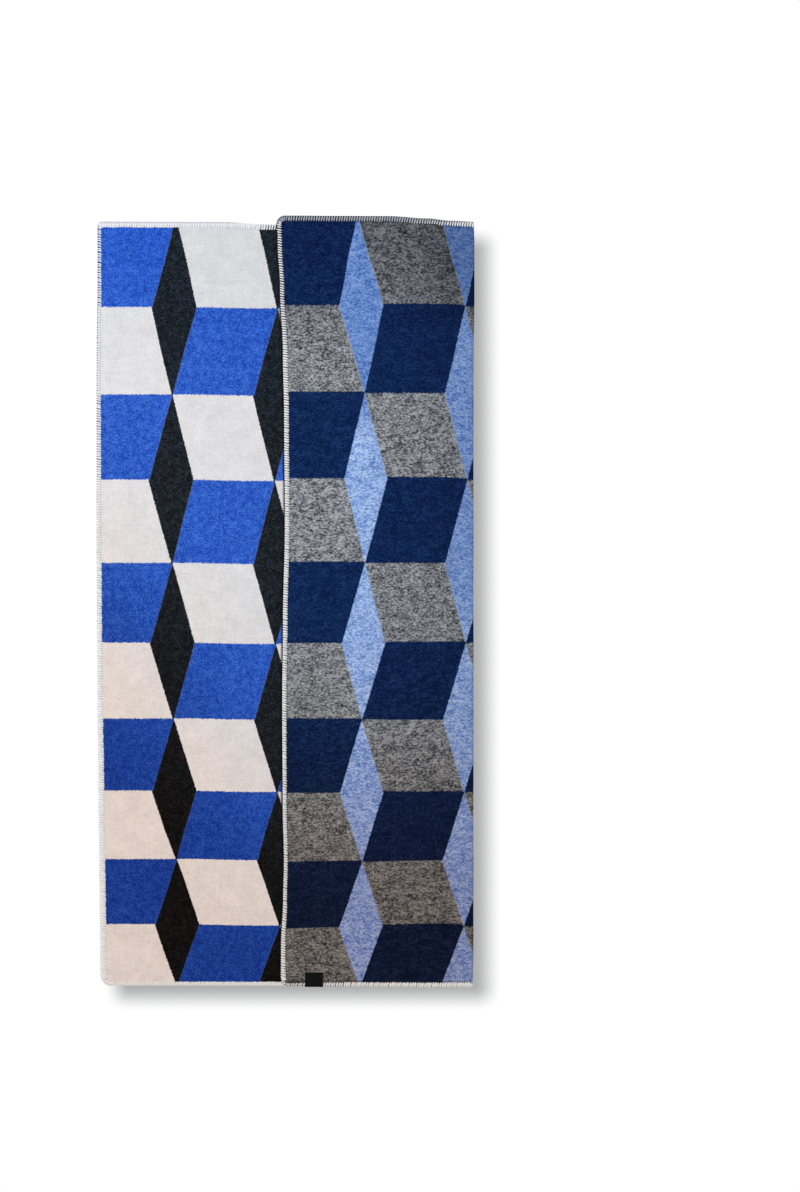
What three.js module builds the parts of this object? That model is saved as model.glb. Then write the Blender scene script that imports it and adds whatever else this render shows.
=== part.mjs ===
// A double-woven wool blanket, folded once along its length and laid flat on its back.
// Millimetres. +X runs from the open side to the fold, +Y from the foot to the head, +Z is up.
// The cloth is one piece: a wide lower layer, a round fold at +X, and a narrower upper layer
// that lies back over it. A whipped yarn edging goes all the way round the cut edge.
import * as THREE from 'three';

// Size of the folded blanket
const FOLDED_WIDTH = 988;
const FOLDED_LENGTH = 2016;

// Cloth and fold
const CLOTH_THICKNESS = 4;
const LAYER_GAP = 1;
const FOLD_RADIUS = 5;
const FOLD_SETTLE = 45;
const CORNER_RADIUS = 22;
const UPPER_LAYER_WAVE = 1.1;
const WAVE_LENGTH = 640;
const WAVE_SLANT = 190;

// Edging: a thin channel of yarn over the pressed-down margin of the cloth
const EDGING_BITE = 13;
const EDGING_THICKNESS = 4.4;
const EDGING_WALL = 0.9;
const EDGING_CLEARANCE = 0.3;
const EDGING_RISE = 0.5;
const EDGING_RIM_ROUND = 0.8;
const MARGIN_WIDTH = 17;
const MARGIN_THICKNESS = EDGING_THICKNESS - 2 * (EDGING_WALL + EDGING_CLEARANCE);

// Label on the foot edge of the upper layer
const LABEL_WIDTH = 47;
const LABEL_REACH = 35;
const LABEL_THICKNESS = 0.8;
const LABEL_FROM_FREE_SIDE = 63;
const LABEL_CLEARANCE = 0.3;
const LABEL_LIP = 2.6;

// Steps of the solids
const CORNER_STEPS = 4;
const FOLD_STEPS = 10;
const LOWER_STEPS = 9;
const UPPER_STEPS = 5;
const LENGTH_STEPS = 18;
const SETTLE_SHARES = [0.1, 0.24, 0.42, 0.64, 1];
const LABEL_STEPS = 4;

// The long sides, from the foot (height 0) to the head. openIn is how far the open side's edge
// lies in from its furthest point, foldIn the same at the fold, and upper the upper layer's width.
const LONG_SIDES = [
  { height: 0, openIn: 10.5, foldIn: 4.0, upper: 507 },
  { height: 110, openIn: 9.5, foldIn: 2.6, upper: 507 },
  { height: 230, openIn: 8.0, foldIn: 2.6, upper: 502 },
  { height: 330, openIn: 7.0, foldIn: 2.6, upper: 500 },
  { height: 480, openIn: 5.2, foldIn: 2.6, upper: 503 },
  { height: 760, openIn: 2.6, foldIn: 2.6, upper: 504 },
  { height: 950, openIn: 0.8, foldIn: 2.6, upper: 502 },
  { height: 1210, openIn: 0.0, foldIn: 2.6, upper: 497 },
  { height: 1490, openIn: 0.0, foldIn: 2.6, upper: 499 },
  { height: 1650, openIn: 0.4, foldIn: 2.0, upper: 502 },
  { height: 1830, openIn: 2.6, foldIn: 0.0, upper: 510 },
  { height: 1940, openIn: 2.6, foldIn: 0.0, upper: 516 },
  { height: 2016, openIn: 2.6, foldIn: 1.0, upper: 518 },
];

// The short ends, across the cut cloth from its open side (0) round the fold to its free side.
// headIn and footIn are how far each end lies in from the furthest point of the folded blanket.
const SHORT_ENDS = [
  { across: 0, headIn: 16.2, footIn: 3.2 },
  { across: 330, headIn: 17.0, footIn: 3.2 },
  { across: 420, headIn: 22.5, footIn: 3.2 },
  { across: 520, headIn: 25.0, footIn: 3.0 },
  { across: 750, headIn: 22.0, footIn: 2.4 },
  { across: 980, headIn: 18.0, footIn: 1.2 },
  { across: 1050, headIn: 13.5, footIn: 0.4 },
  { across: 1110, headIn: 7.5, footIn: 0.0 },
  { across: 1210, headIn: 1.4, footIn: 1.2 },
  { across: 1340, headIn: 1.0, footIn: 2.0 },
  { across: 1450, headIn: 0.0, footIn: 3.0 },
  { across: 1520, headIn: 0.0, footIn: 3.2 },
];

const RIM_REACH = EDGING_WALL + EDGING_CLEARANCE;
const FOLD_LENGTH = Math.PI * FOLD_RADIUS;
const LOWER_LEVEL = CLOTH_THICKNESS / 2;
const UPPER_LEVEL = LOWER_LEVEL + CLOTH_THICKNESS + LAYER_GAP;
const FOLD_TOP = LOWER_LEVEL + 2 * FOLD_RADIUS;

function blend(from, to, share) {
  return from + (to - from) * share;
}

function ease(share) {
  const held = THREE.MathUtils.clamp(share, 0, 1);
  return (1 - Math.cos(Math.PI * held)) / 2;
}

// A value from a table, read smoothly between its rows.
function tableValue(rows, key, at, column) {
  const next = rows.findIndex((row) => row[key] >= at);
  if (next === 0) return rows[0][column];
  if (next < 0) return rows[rows.length - 1][column];
  const before = rows[next - 1];
  const after = rows[next];
  const share = (at - before[key]) / (after[key] - before[key]);
  return blend(before[column], after[column], ease(share));
}

// Where the cloth's own cut edge lies, with the edging's rim outside it.
function sides(height) {
  const fold = FOLDED_WIDTH - tableValue(LONG_SIDES, 'height', height, 'foldIn');
  const open = tableValue(LONG_SIDES, 'height', height, 'openIn') + RIM_REACH;
  const free = FOLDED_WIDTH - tableValue(LONG_SIDES, 'height', height, 'upper') + RIM_REACH;
  const foldCentre = fold - CLOTH_THICKNESS / 2 - FOLD_RADIUS;
  return { foldCentre, lower: foldCentre - open, upper: foldCentre - free };
}

// How far the rounded corners take an end in, at a distance from the nearest long side.
function cornerIn(distance) {
  if (distance >= CORNER_RADIUS) return 0;
  const rest = CORNER_RADIUS - distance;
  return CORNER_RADIUS - Math.sqrt(CORNER_RADIUS ** 2 - rest ** 2);
}

// A point of the folded cloth: along is its height over the foot, across its way over the cloth
// from the start of the fold (negative on the lower layer), offset its distance from the middle
// of the thickness towards the outside of the fold, and rise a lift of the whole thickness.
function foldedPoint(across, along, offset, rise) {
  const { foldCentre } = sides(along);
  if (across <= 0) {
    return new THREE.Vector3(foldCentre + across, along, LOWER_LEVEL - offset + rise);
  }
  if (across < FOLD_LENGTH) {
    const angle = across / FOLD_RADIUS;
    const reach = FOLD_RADIUS + offset;
    const x = foldCentre + reach * Math.sin(angle);
    const z = LOWER_LEVEL + FOLD_RADIUS - reach * Math.cos(angle) + rise;
    return new THREE.Vector3(x, along, z);
  }
  const past = across - FOLD_LENGTH;
  const settle = ease(past / FOLD_SETTLE);
  const turn = Math.PI * Math.min(past / FOLD_SETTLE, 1);
  const slope = ((FOLD_TOP - UPPER_LEVEL) * Math.PI * Math.sin(turn)) / (2 * FOLD_SETTLE);
  const phase = (2 * Math.PI * along) / WAVE_LENGTH + past / WAVE_SLANT;
  const wave = UPPER_LAYER_WAVE * settle * (0.5 + 0.5 * Math.sin(phase));
  const level = blend(FOLD_TOP, UPPER_LEVEL, settle) + wave + rise;
  const tilt = Math.atan(slope);
  const x = foldCentre - past - offset * Math.sin(tilt);
  return new THREE.Vector3(x, along, level + offset * Math.cos(tilt));
}

// Distances from a cut edge at which the corner's arc and the pressed margin have a step.
function edgeSteps() {
  const steps = [];
  for (let i = 0; i < CORNER_STEPS; i += 1) {
    const angle = (Math.PI / 2) * (i / CORNER_STEPS);
    steps.push(CORNER_RADIUS * (1 - Math.cos(angle)));
  }
  return [...steps, MARGIN_WIDTH, CORNER_RADIUS];
}

// The columns across the cut cloth. Each is a share of a layer's width, counted from the fold,
// and a distance added towards the free side of the upper layer.
function makeColumns() {
  const steps = edgeSteps();
  const columns = steps.map((step) => ({ layer: 'lower', share: 1, add: step, edge: step }));
  for (let i = LOWER_STEPS - 1; i >= 0; i -= 1) {
    const share = i / LOWER_STEPS;
    columns.push({ layer: 'lower', share, add: CORNER_RADIUS * share, edge: Infinity });
  }
  for (let i = 1; i <= FOLD_STEPS; i += 1) {
    columns.push({ layer: 'fold', share: i / FOLD_STEPS, add: 0, edge: Infinity });
  }
  for (const share of SETTLE_SHARES) {
    columns.push({ layer: 'upper', share: 0, add: FOLD_SETTLE * share, edge: Infinity });
  }
  for (let i = 1; i < UPPER_STEPS; i += 1) {
    const share = i / UPPER_STEPS;
    const add = blend(FOLD_SETTLE, -CORNER_RADIUS, share);
    columns.push({ layer: 'upper', share, add, edge: Infinity });
  }
  for (const step of steps.reverse()) {
    columns.push({ layer: 'upper', share: 1, add: -step, edge: step });
  }
  return columns;
}

function acrossOf(column, height) {
  const { lower, upper } = sides(height);
  if (column.layer === 'lower') return -lower * column.share + column.add;
  if (column.layer === 'fold') return FOLD_LENGTH * column.share;
  return FOLD_LENGTH + upper * column.share + column.add;
}

// The rows along the cloth. Each is a share of its length and a distance added to it.
function makeRows() {
  const ends = [0, MARGIN_WIDTH, CORNER_RADIUS];
  const rows = ends.map((step) => ({ share: 0, add: step, edge: step }));
  for (let i = 1; i < LENGTH_STEPS; i += 1) {
    const share = i / LENGTH_STEPS;
    rows.push({ share, add: CORNER_RADIUS * (1 - 2 * share), edge: Infinity });
  }
  for (const step of ends.reverse()) {
    rows.push({ share: 1, add: -step, edge: step });
  }
  return rows;
}

const COLUMNS = makeColumns();
const ROWS = makeRows();

// Foot and head of the cut cloth at a column.
function endsAt(column) {
  const middle = FOLDED_LENGTH / 2;
  const cut = sides(middle).lower + acrossOf(column, middle);
  const corner = cornerIn(column.edge) + RIM_REACH;
  const foot = tableValue(SHORT_ENDS, 'across', cut, 'footIn') + corner;
  const head = FOLDED_LENGTH - tableValue(SHORT_ENDS, 'across', cut, 'headIn') - corner;
  return { foot, head };
}

// One crossing of a column and a row: its flat place, and how much it belongs to the margin.
function crossing(column, row) {
  const { foot, head } = endsAt(column);
  const along = blend(foot, head, row.share) + row.add;
  const edge = Math.min(column.edge, row.edge);
  const margin = edge <= MARGIN_WIDTH ? 1 : 0;
  return { across: acrossOf(column, along), along, margin };
}

const CROSSINGS = COLUMNS.map((column) => ROWS.map((row) => crossing(column, row)));

function meshFrom(name, points, triangles, material) {
  const geometry = new THREE.BufferGeometry();
  const numbers = points.flatMap((point) => point.toArray());
  geometry.setAttribute('position', new THREE.Float32BufferAttribute(numbers, 3));
  geometry.setIndex(triangles.flat());
  geometry.computeVertexNormals();
  const mesh = new THREE.Mesh(geometry, material);
  mesh.name = name;
  return mesh;
}

// The flat crossings of the cut edge in turn: foot, free side, head, open side.
function cutEdge() {
  const lastColumn = COLUMNS.length - 1;
  const lastRow = ROWS.length - 1;
  const edge = [];
  for (let c = 0; c < lastColumn; c += 1) edge.push([c, 0]);
  for (let r = 0; r < lastRow; r += 1) edge.push([lastColumn, r]);
  for (let c = lastColumn; c > 0; c -= 1) edge.push([c, lastRow]);
  for (let r = lastRow; r > 0; r -= 1) edge.push([0, r]);
  return edge;
}

// The woven cloth: an outer and an inner face, joined round the cut edge.
function makeCloth(material) {
  const rowCount = ROWS.length;
  const outer = (c, r) => c * rowCount + r;
  const inner = (c, r) => outer(c, r) + COLUMNS.length * rowCount;
  const faces = [1, -1].map((side) =>
    CROSSINGS.flat().map(({ across, along, margin }) => {
      const half = blend(CLOTH_THICKNESS, MARGIN_THICKNESS, margin) / 2;
      return foldedPoint(across, along, side * half, EDGING_RISE * margin);
    }),
  );
  const triangles = [];
  for (let c = 0; c + 1 < COLUMNS.length; c += 1) {
    for (let r = 0; r + 1 < rowCount; r += 1) {
      const [a, b, d, e] = [outer(c, r), outer(c + 1, r), outer(c + 1, r + 1), outer(c, r + 1)];
      const [f, g, h, i] = [inner(c, r), inner(c + 1, r), inner(c + 1, r + 1), inner(c, r + 1)];
      triangles.push([a, d, b], [a, e, d], [f, g, h], [f, h, i]);
    }
  }
  const edge = cutEdge();
  edge.forEach(([c, r], place) => {
    const [nextC, nextR] = edge[(place + 1) % edge.length];
    const [a, b] = [outer(c, r), outer(nextC, nextR)];
    const [f, g] = [inner(c, r), inner(nextC, nextR)];
    triangles.push([a, b, g], [a, g, f]);
  });
  return meshFrom('blanket_cloth', faces.flat(), triangles, material);
}

// The band of faces between two stations of a section carried along an edge.
function sectionBand(size, here, there) {
  const band = [];
  for (let k = 0; k < size; k += 1) {
    const next = (k + 1) % size;
    band.push([here + k, there + next, here + next], [here + k, there + k, there + next]);
  }
  return band;
}

// The edging's section: first the distance in from the cut edge, then the offset through the
// thickness. The channel is open towards the cloth.
function edgingSection() {
  const outside = EDGING_THICKNESS / 2;
  const inside = MARGIN_THICKNESS / 2 + EDGING_CLEARANCE;
  const round = EDGING_RIM_ROUND;
  const rim = -RIM_REACH;
  return [
    [EDGING_BITE, outside],
    [rim + round, outside],
    [rim, outside - round],
    [rim, round - outside],
    [rim + round, -outside],
    [EDGING_BITE, -outside],
    [EDGING_BITE, -inside],
    [-EDGING_CLEARANCE, -inside],
    [-EDGING_CLEARANCE, inside],
    [EDGING_BITE, inside],
  ];
}

// The whipped edging: its section carried once round the whole cut edge.
function makeEdging(material) {
  const stations = cutEdge().map(([c, r]) => {
    const { across, along } = CROSSINGS[c][r];
    return new THREE.Vector2(across, along);
  });
  const section = edgingSection();
  const points = [];
  stations.forEach((station, place) => {
    const before = stations[(place + stations.length - 1) % stations.length];
    const after = stations[(place + 1) % stations.length];
    const arrive = station.clone().sub(before).normalize();
    const leave = after.clone().sub(station).normalize();
    const way = arrive.add(leave).normalize();
    for (const [distance, offset] of section) {
      const across = station.x - way.y * distance;
      const along = station.y + way.x * distance;
      points.push(foldedPoint(across, along, offset, EDGING_RISE));
    }
  });
  const size = section.length;
  const triangles = stations.flatMap((station, place) => {
    const next = (place + 1) % stations.length;
    return sectionBand(size, place * size, next * size);
  });
  return meshFrom('yarn_edging', points, triangles, material);
}

// The label's section, as for the edging but from the cut edge of the foot: a strip that lies on
// the cloth, steps up over the edging and turns down over its rim.
function labelSection() {
  const onCloth = CLOTH_THICKNESS / 2 + LABEL_CLEARANCE;
  const onEdging = EDGING_THICKNESS / 2 + EDGING_RISE + LABEL_CLEARANCE;
  const lipInside = -RIM_REACH - LABEL_CLEARANCE;
  const lipOutside = lipInside - LABEL_THICKNESS;
  const lipEnd = onEdging - LABEL_LIP;
  return [
    [LABEL_REACH, onCloth],
    [CORNER_RADIUS + LABEL_THICKNESS, onCloth],
    [MARGIN_WIDTH, onEdging],
    [lipInside, onEdging],
    [lipInside, lipEnd],
    [lipOutside, lipEnd],
    [lipOutside, onEdging + LABEL_THICKNESS / 2],
    [lipInside, onEdging + LABEL_THICKNESS],
    [MARGIN_WIDTH, onEdging + LABEL_THICKNESS],
    [CORNER_RADIUS + LABEL_THICKNESS, onCloth + LABEL_THICKNESS],
    [LABEL_REACH, onCloth + LABEL_THICKNESS],
  ];
}

// Height of the cloth's cut foot at a place across it.
function footAt(across) {
  const next = CROSSINGS.findIndex(([foot]) => foot.across >= across);
  const [before, after] = [CROSSINGS[next - 1][0], CROSSINGS[next][0]];
  const share = (across - before.across) / (after.across - before.across);
  return blend(before.along, after.along, share);
}

function makeLabel(material) {
  const freeSide = CROSSINGS.at(-1)[0].across;
  const section = labelSection();
  const points = [];
  for (let s = 0; s <= LABEL_STEPS; s += 1) {
    const across = freeSide - LABEL_FROM_FREE_SIDE - LABEL_WIDTH * (s / LABEL_STEPS);
    for (const [distance, offset] of section) {
      points.push(foldedPoint(across, footAt(across) + distance, offset, 0));
    }
  }
  const size = section.length;
  const triangles = [];
  for (let s = 0; s < LABEL_STEPS; s += 1) {
    triangles.push(...sectionBand(size, s * size, (s + 1) * size));
  }
  const outline = section.map(([distance, offset]) => new THREE.Vector2(distance, offset));
  const last = LABEL_STEPS * size;
  for (const [a, b, c] of THREE.ShapeUtils.triangulateShape(outline, [])) {
    triangles.push([a, c, b], [last + a, last + b, last + c]);
  }
  return meshFrom('side_label', points, triangles, material);
}

function fabric(color, roughness) {
  return new THREE.MeshStandardMaterial({ color, roughness, metalness: 0 });
}

const blanket = new THREE.Group();
blanket.add(makeCloth(fabric('#2c55a8', 0.95)));
blanket.add(makeEdging(fabric('#dcd6cd', 0.9)));
blanket.add(makeLabel(fabric('#101012', 0.7)));

// The origin is under the middle of the folded blanket's box.
const middle = new THREE.Box3().setFromObject(blanket).getCenter(new THREE.Vector3());
blanket.position.set(-middle.x, -middle.y, 0);

export default blanket;
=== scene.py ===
# A double-woven wool blanket, folded once along its length and laid flat on its back.
# Metres. +X runs from the open side to the fold, +Y from the foot to the head, +Z is up.
import math

import bmesh
import bpy
import numpy as np
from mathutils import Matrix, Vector


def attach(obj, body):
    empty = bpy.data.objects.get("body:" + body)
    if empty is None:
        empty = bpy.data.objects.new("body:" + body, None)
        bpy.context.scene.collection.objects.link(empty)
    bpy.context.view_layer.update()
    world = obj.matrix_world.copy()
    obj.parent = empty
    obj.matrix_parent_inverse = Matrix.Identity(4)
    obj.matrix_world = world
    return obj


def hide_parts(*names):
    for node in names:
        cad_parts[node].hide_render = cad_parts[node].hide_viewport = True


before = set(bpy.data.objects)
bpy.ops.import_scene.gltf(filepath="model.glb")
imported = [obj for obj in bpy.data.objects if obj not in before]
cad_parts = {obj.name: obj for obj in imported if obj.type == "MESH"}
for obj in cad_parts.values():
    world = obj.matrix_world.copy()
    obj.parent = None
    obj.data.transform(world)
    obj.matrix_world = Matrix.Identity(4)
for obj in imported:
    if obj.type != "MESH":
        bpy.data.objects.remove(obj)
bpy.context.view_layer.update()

MM = 0.001

# Size of the folded blanket, its cloth and its fold
FOLDED_WIDTH = 988 * MM
FOLDED_LENGTH = 2016 * MM
CLOTH_THICKNESS = 4 * MM
LAYER_GAP = 1 * MM
FOLD_RADIUS = 5 * MM
FOLD_SETTLE = 45 * MM
CORNER_RADIUS = 22 * MM
HEAD_CORNER_RADIUS = 9 * MM
FOOT_CORNER_RADIUS = 27 * MM
UPPER_LAYER_WAVE = 1.1 * MM
WAVE_LENGTH = 640 * MM
WAVE_SLANT = 190 * MM
RELIEF_LENGTH = 140 * MM
RELIEF_SHARE = 0.5
CUT_WIDTH = 1.5
CUT_LENGTH = 2.0
LOWER_CUT = 980 * MM  # how much of the cut width the lower layer takes, up to the bend
UPPER_START = 1.0  # past the bend, where the upper layer's edge starts

# How finely the cloth is divided: across it where it shows and where it lies under the upper
# layer, along it, and at its ends
SHOWN_STEP = 8 * MM
HIDDEN_FROM = 520 * MM
HIDDEN_STEP = 23 * MM
LENGTH_STEP = 7.8 * MM
FINE_END = 25 * MM

# Edging
EDGING_REACH = 1.2 * MM
EDGING_RISE = 0.5 * MM
MARGIN_THICKNESS = 2.0 * MM
MARGIN_WIDTH = 12 * MM
MARGIN_RAMP = 14 * MM
HEM_SHADE_REACH = 15 * MM
HEM_SHADE_RAMP = 4 * MM
STITCH_PITCH = 6.6 * MM
STRAND_HEIGHT = 1.7 * MM
STRAND_SIDES = 6
THREAD_SIDES = 6
THREAD_DEPTH = 0.5 * MM
THREAD_HALF_WIDTH = 1.6 * MM
THREAD_HALF_HEIGHT = 1.2 * MM
TWIST_LENGTH = 5 * MM

# Label on the foot edge of the upper layer
LABEL_WIDTH = 47 * MM
LABEL_REACH = 35 * MM
LABEL_THICKNESS = 0.8 * MM
LABEL_FROM_FREE_SIDE = 63 * MM
LABEL_CLEARANCE = 0.3 * MM
LABEL_LIP = 2.6 * MM
LABEL_RISE_ON_EDGING = 1.1 * MM
LABEL_RIB = 0.9 * MM
LABEL_PICK = 0.7 * MM

# The long sides in millimetres, from the foot (height 0) to the head: how far the open side
# and the fold lie in from their furthest point, and the width of the upper layer.
LONG_SIDES = {
    "height": (0, 110, 230, 330, 480, 760, 950, 1210, 1490, 1650, 1830, 1940, 2016),
    "open_in": (10.5, 9.5, 8.0, 7.0, 5.2, 2.6, 0.8, 0.0, 0.0, 0.4, 2.6, 2.6, 2.6),
    "fold_in": (4.0, 2.6, 2.6, 2.6, 2.6, 2.6, 2.6, 2.6, 2.6, 2.0, 0.0, 0.0, 1.0),
    "upper": (507, 507, 502, 500, 503, 504, 502, 497, 499, 502, 510, 516, 518),
}

# The short ends in millimetres, across the cut cloth from its open side round the fold.
SHORT_ENDS = {
    "across": (0, 330, 420, 520, 750, 980, 1050, 1110, 1210, 1340, 1450, 1520),
    "head_in": (16.2, 17.0, 22.5, 25.0, 22.0, 18.0, 14.1, 8.2, 2.2, 1.7, 0.8, 0.6),
    "foot_in": (3.2, 3.2, 3.2, 3.0, 2.4, 1.2, 0.4, 0.0, 1.2, 2.0, 3.0, 3.2),
}

# The blocks pattern: where the diamond columns stand across the cut cloth, in millimetres, and
# how far the rows reach down from the head. The rows get steadily lower towards the foot.
DIAMOND_COLUMNS = (-75, 198.4, 469.1, 740, 1007.5, 1282.3, 1553)
DIAMOND_HALF_WIDTH = 0.212
ROW_TOP = 3.0
ROW_DEPTH = 237.2
ROW_SHRINK = 2.37
ROW_SHRINK_MORE = 0.1236
ROWS = 11
PICKS = 34.0  # steps of the weave in the slanted borders of one row
BORDER_LINE_WIDTH = 0.011

# The cloth lies a little uneven: how far its pattern wanders across and down, in millimetres,
# on the lower and on the upper layer, from the foot to the head. The upper slant is the fall of
# its rows towards the free side, in millimetres a metre.
WANDER = {
    "height": (83, 203, 289, 420, 606, 849, 1055, 1271, 1437, 1607, 1777, 1931),
    "lower_across": (4.0, 6.2, 6.2, 1.6, 0.5, -1.0, -0.8, -3.1, -2.4, 0.0, 2.6, 5.8),
    "upper_across": (7.0, 6.6, 6.3, 6.0, 5.6, 1.7, -0.4, -2.3, -1.4, 0.5, 4.7, 8.5),
    "lower_down": (-1.2, -2.2, -2.6, -1.0, 1.0, 3.7, 3.8, 2.2, 1.8, 2.4, 3.1, 2.0),
    "upper_down": (0.3, 0.7, 1.3, 1.2, 1.5, 1.0, 1.0, -4.5, -5.0, -4.2, -4.6, -4.0),
    "upper_slant": (30, 26, 18, 8, 0, 0, 0, 0, 0, 0, 0, 0),
}

# The rows on the lower layer also tilt, across the cut cloth, in millimetres.
ROW_TILT = {"across": (0, 230, 400), "down": (-1.7, -1.7, 1.6)}

# Where the wandering goes over from the lower layer's to the upper layer's: start and width of
# each change, in metres across the cut cloth, and the middle of the upper layer's slant.
ASIDE_CHANGE = (0.6, 0.3)
LOWER_DOWN_END = (0.5, 0.3)
UPPER_DOWN_START = (0.985, 0.1)
SLANT_MIDDLE = 1.31

# How the edging is whipped: on each stretch of the edge, at places along it (a share of the
# length on the sides, metres across the cut on the ends), how wide a strand lies inside and at
# the rim, how far it bites into the cloth and how far in it starts, in millimetres, and how far
# a stitch strays along the edge, as a share of the space between stitches.
WHIPPING = {
    "open side": ((0.0, 9.4, 8.6, 17.0, 0.0, 0.02), (0.5, 9.0, 7.4, 13.0, 0.0, 0.02),
                  (0.7, 8.8, 5.4, 11.4, 0.0, 0.06), (1.0, 8.4, 2.8, 8.8, 0.0, 0.20)),
    "lower head": ((0.0, 9.2, 8.4, 14.6, 0.0, 0.04), (0.4, 9.2, 8.0, 14.0, 0.0, 0.04),
                   (0.46, 6.0, 5.0, 13.6, 0.0, 0.08)),
    "upper head": ((1.0, 5.4, 4.3, 13.0, 0.4, 0.04), (1.1, 4.8, 4.0, 12.2, 1.2, 0.04),
                   (1.5, 4.4, 3.7, 10.8, 2.0, 0.04)),
    "free side": ((0.0, 6.7, 6.1, 11.4, 1.9, 0.06), (0.12, 6.5, 5.9, 8.4, 3.0, 0.06),
                  (0.3, 6.7, 6.1, 9.6, 2.3, 0.06), (0.5, 6.7, 6.0, 11.0, 2.2, 0.06),
                  (0.82, 6.1, 5.5, 11.6, 2.2, 0.06), (0.9, 4.9, 4.5, 9.6, 2.6, 0.06),
                  (1.0, 4.6, 4.2, 9.4, 2.7, 0.06)),
    "lower foot": ((0.0, 9.2, 8.4, 9.6, 0.0, 0.03), (0.98, 9.2, 8.0, 9.0, 0.0, 0.03)),
    "upper foot": ((0.98, 7.8, 7.0, 11.2, 0.3, 0.08), (1.3, 7.2, 6.2, 9.8, 0.5, 0.09),
                   (1.42, 5.2, 4.6, 7.0, 0.8, 0.10), (1.5, 4.8, 4.2, 5.0, 0.8, 0.10)),
}

# The studio, and the photograph's frame in its own pixels
FLOOR_HALF_WIDTH = 60
FLOOR_GLOW = 1.02
FLOOR_SHADE = (0.41, 0.415, 0.42, 1)
ROOM_LIGHT = 0.62
KEY_PLACE, KEY_AIM = (-2.6, 2.4, 3.6), (0.0, 0.1, 0.0)
PHOTO_SIZE = (800, 1192)
BLANKET_MIDDLE = (285.4, 601.2)
BLANKET_PIXELS = 771.5
CAMERA_HEIGHT = 6.0

FOLD_LENGTH = math.pi * FOLD_RADIUS
LOWER_LEVEL = CLOTH_THICKNESS / 2
UPPER_LEVEL = LOWER_LEVEL + CLOTH_THICKNESS + LAYER_GAP
FOLD_TOP = LOWER_LEVEL + 2 * FOLD_RADIUS
rng = np.random.default_rng(11)


def ease(share):
    return (1 - np.cos(np.pi * np.clip(share, 0, 1))) / 2


def change(at, start, width):
    return ease((at - start) / width)


def table_value(table, key, at, column):
    """A column of a table of millimetres at places in metres, read smoothly between its rows."""
    places = np.array(table[key]) * MM
    values = np.array(table[column]) * MM
    after = np.clip(np.searchsorted(places, at), 1, len(places) - 1)
    before = after - 1
    share = (at - places[before]) / (places[after] - places[before])
    return values[before] + (values[after] - values[before]) * ease(share)


def sides(along):
    """The middle of the fold, and how far the two layers of cloth reach from it."""
    fold = FOLDED_WIDTH - table_value(LONG_SIDES, "height", along, "fold_in")
    open_side = table_value(LONG_SIDES, "height", along, "open_in") + EDGING_REACH
    free_side = FOLDED_WIDTH - table_value(LONG_SIDES, "height", along, "upper") + EDGING_REACH
    middle = fold - CLOTH_THICKNESS / 2 - FOLD_RADIUS
    return middle, middle - open_side, middle - free_side


def folded_points(across, along, offset, rise):
    """Points of the folded cloth, from places on the flat one, as the construction has them."""
    middle = sides(along)[0]
    turn = np.clip(across, 0, FOLD_LENGTH) / FOLD_RADIUS
    past = np.maximum(across - FOLD_LENGTH, 0)
    share = np.clip(past / FOLD_SETTLE, 0, 1)
    slope = (FOLD_TOP - UPPER_LEVEL) * np.pi * np.sin(np.pi * share) / (2 * FOLD_SETTLE)
    tilt = np.arctan(slope)
    phase = 2 * np.pi * along / WAVE_LENGTH + past / WAVE_SLANT
    settle = ease(share)
    wave = UPPER_LAYER_WAVE * settle * (0.5 + 0.5 * np.sin(phase))
    upper_z = FOLD_TOP + (UPPER_LEVEL - FOLD_TOP) * settle + wave + offset * np.cos(tilt)
    upper_x = middle - past - offset * np.sin(tilt)
    reach = FOLD_RADIUS + offset
    round_x = middle + reach * np.sin(turn)
    round_z = LOWER_LEVEL + FOLD_RADIUS - reach * np.cos(turn)
    lower, upper = across <= 0, across >= FOLD_LENGTH
    x = np.where(lower, middle + across, np.where(upper, upper_x, round_x))
    z = np.where(lower, LOWER_LEVEL - offset, np.where(upper, upper_z, round_z)) + rise
    return np.stack([x - FOLDED_WIDTH / 2, along - FOLDED_LENGTH / 2, z], axis=-1)


def corner_in(distance, radius):
    rest = np.maximum(radius - distance, 0)
    return radius - np.sqrt(radius**2 - rest**2)


def cut_place(cut, share):
    """Across and along for a way over the cut width and a share of the length between its ends."""
    edge = np.minimum(cut, CUT_WIDTH - cut)
    lower = cut < CUT_WIDTH / 2
    foot_radius = np.where(lower, FOOT_CORNER_RADIUS, CORNER_RADIUS)
    head_radius = np.where(lower, HEAD_CORNER_RADIUS, CORNER_RADIUS)
    foot_corner = corner_in(edge, foot_radius) + EDGING_REACH
    head_corner = corner_in(edge, head_radius) + EDGING_REACH
    foot = table_value(SHORT_ENDS, "across", cut, "foot_in") + foot_corner
    head = FOLDED_LENGTH - table_value(SHORT_ENDS, "across", cut, "head_in") - head_corner
    along = foot + (head - foot) * share
    middle, lower, upper = sides(along)
    upper_cut = CUT_WIDTH - LOWER_CUT - FOLD_LENGTH
    on_lower = -lower * (1 - cut / LOWER_CUT)
    past = cut - LOWER_CUT - FOLD_LENGTH
    beyond = np.where(past >= 0, FOLD_LENGTH + upper * past / upper_cut, cut - LOWER_CUT)
    return np.where(cut <= LOWER_CUT, on_lower, beyond), along


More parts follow.
